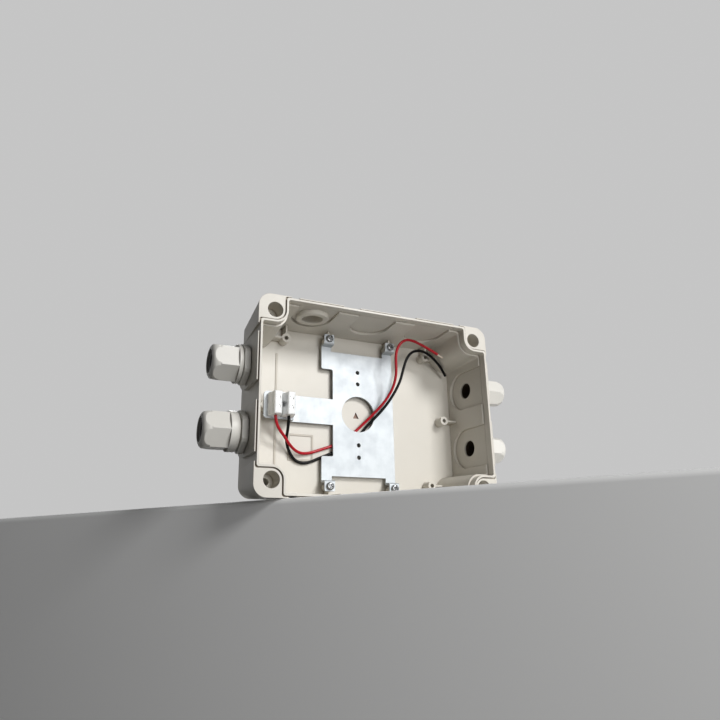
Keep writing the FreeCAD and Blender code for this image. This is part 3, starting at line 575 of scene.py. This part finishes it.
def tintFloor(material):
    # the brownish scar where the plastic was fed in, and painted shade on the tops of the low ribs beside it
    tree = material.node_tree
    for tint in floorTints.values():
        offset = addNode(tree, "ShaderNodeVectorMath", operation="SUBTRACT")
        tree.links.new(addNode(tree, "ShaderNodeTexCoord").outputs["Object"], offset.inputs[0])
        offset.inputs[1].default_value = placed(*tint["middle"])
        size = addNode(tree, "ShaderNodeVectorMath", operation="ABSOLUTE")
        tree.links.new(offset.outputs[0], size.inputs[0])
        over = addNode(tree, "ShaderNodeVectorMath", operation="SUBTRACT")
        tree.links.new(size.outputs[0], over.inputs[0])
        over.inputs[1].default_value = [value / 1000 for value in tint["half"]]
        parts = addNode(tree, "ShaderNodeSeparateXYZ")
        tree.links.new(over.outputs[0], parts.inputs[0])
        furthest = mathNode(tree, "MAXIMUM", parts.outputs[0], parts.outputs[1])
        inside = mathNode(tree, "LESS_THAN", mathNode(tree, "MAXIMUM", furthest, parts.outputs[2]), 0.0)
        paintOver(material, inside, tint["colour"])


def makeFinishes():
    for name, look in mouldedLooks.items():
        material, tree, shader = newMaterial(name)
        useGroup(tree, shader, mouldedGroup, look, mouldedRelief, edgeLooks[name], paintedCornerShades.get(name))
        shader.inputs["IOR"].default_value = 1.5
        shader.inputs["Specular IOR Level"].default_value = shineLevels.get(name, 0.5)
        finishes[name] = material
    for name, look in platedLooks.items():
        material, tree, shader = newMaterial(name)
        useGroup(tree, shader, platedGroup, look, platedRelief, edgeLooks[name])
        shader.inputs["Metallic"].default_value = 1.0
        finishes[name] = material
    paintBoreShade(finishes["glandPlastic"])
    tintFloor(finishes["boxPlastic"])
    shader = finishes["terminalPlastic"].node_tree.nodes["Principled BSDF"]
    shader.inputs["Subsurface Weight"].default_value = terminalGlow["weight"]
    shader.inputs["Subsurface Radius"].default_value = terminalGlow["radius"]
    shader.inputs["Subsurface Scale"].default_value = terminalGlow["scale"]


makeFinishes()
slotFinish = {
    "box_plastic": "boxPlastic", "gland_plastic": "glandPlastic", "sealing_rubber": "sealRubber",
    "zinc_sheet": "zincSheet", "screw_steel": "screwSteel", "terminal_plastic": "terminalPlastic",
    "brass": "brassMetal", "red_sheath": "redSheath", "black_sheath": "blackSheath",
    "tinned_copper": "tinnedCopper",
}


def dress(piece, finish):
    piece.data.materials.clear()
    piece.data.materials.append(finishes[finish])


for part in frame["record"]["subparts"]:
    dress(nodes[part["node"]], slotFinish[part["material_slot"]])
for name in ("clamp_screws_red", "clamp_screws_black"):
    dress(nodes[name], "clampSteel")
dress(redPiece, "redSheath")
dress(blackPiece, "blackSheath")
for piece, finish in glandPieces:
    dress(piece, finish)
print("finishes given")

# Shelf with its front edge running off to the front right, and the lamps
shelf = {
    "edgeStart": (-0.0938, -0.0033), "edgeEnd": (0.0359, -0.1722), "reachBack": 4.0, "reachSide": 3.0,
    "height": 0.9, "edgeRadius": 0.004, "colour": (0.78, 0.78, 0.775, 1), "shine": 0.15,
    "grain": 240.0, "glossLow": 0.45, "glossHigh": 0.58,
}
lampAim = (0.0, 0.0, 0.07)  # the middle of the box
lamps = {
    "key": {"place": (0.56, -1.40, 0.90), "size": 0.45, "power": 21.0},
    "front": {"place": (0.20, -1.60, 0.16), "size": 0.60, "power": 10.0},
    "back": {"place": (0.50, 1.45, 0.70), "size": 0.50, "power": 14.0},
}
backdrop = {"lightLevel": 0.025, "seenLevel": 0.56}


def addShelf():
    start = Vector((*shelf["edgeStart"], 0))
    end = Vector((*shelf["edgeEnd"], 0))
    along = (end - start).normalized()
    inward = Vector((-along.y, along.x, 0))
    middle = (start + end) / 2 + inward * shelf["reachBack"] / 2
    clearSelection()
    bpy.ops.mesh.primitive_cube_add(size=1, location=(middle.x, middle.y, -shelf["height"] / 2))
    piece = bpy.context.object
    piece.name = "shelf"
    piece.scale = (2 * shelf["reachSide"], shelf["reachBack"], shelf["height"])
    piece.rotation_euler.z = math.atan2(along.y, along.x)
    bpy.ops.object.transform_apply(location=True, rotation=True, scale=True)
    applyModifier(piece, "BEVEL", width=shelf["edgeRadius"], segments=4)
    bpy.ops.object.shade_smooth_by_angle(angle=math.radians(40))
    material, tree, shader = newMaterial("shelfPaint")
    place = addNode(tree, "ShaderNodeTexCoord").outputs["Object"]
    grain = noiseNode(tree, place, shelf["grain"], 4.0)
    gloss = remap(tree, grain, 0.3, 0.7, shelf["glossLow"], shelf["glossHigh"])
    tree.links.new(gloss, shader.inputs["Roughness"])
    shader.inputs["Base Color"].default_value = shelf["colour"]
    shader.inputs["Specular IOR Level"].default_value = shelf["shine"]
    piece.data.materials.append(material)


def addLamp(name, lamp):
    data = bpy.data.lights.new(name, "AREA")
    data.size = lamp["size"]
    data.energy = lamp["power"]
    piece = bpy.data.objects.new(name, data)
    piece.location = lamp["place"]
    away = Vector(lamp["place"]) - Vector(lampAim)
    piece.rotation_euler = away.to_track_quat("Z", "Y").to_euler()
    scene.collection.objects.link(piece)


def addWorld():
    world = bpy.data.worlds.new("studio")
    scene.world = world
    world.use_nodes = True
    tree = world.node_tree
    light = tree.nodes["Background"]
    level = backdrop["lightLevel"]
    light.inputs["Color"].default_value = (level, level, level, 1)
    seen = tree.nodes.new("ShaderNodeBackground")
    level = backdrop["seenLevel"]
    seen.inputs["Color"].default_value = (level, level, level, 1)
    path = tree.nodes.new("ShaderNodeLightPath")
    either = mathNode(tree, "MAXIMUM", path.outputs["Is Camera Ray"], path.outputs["Is Glossy Ray"])
    mix = tree.nodes.new("ShaderNodeMixShader")
    tree.links.new(either, mix.inputs[0])
    tree.links.new(light.outputs[0], mix.inputs[1])
    tree.links.new(seen.outputs[0], mix.inputs[2])
    tree.links.new(mix.outputs[0], tree.nodes["World Output"].inputs["Surface"])


addShelf()
for lampName, lampValues in lamps.items():
    addLamp(lampName, lampValues)
addWorld()
scene.view_settings.view_transform = "Standard"
print("stage and lamps set")

bpy.context.view_layer.update()
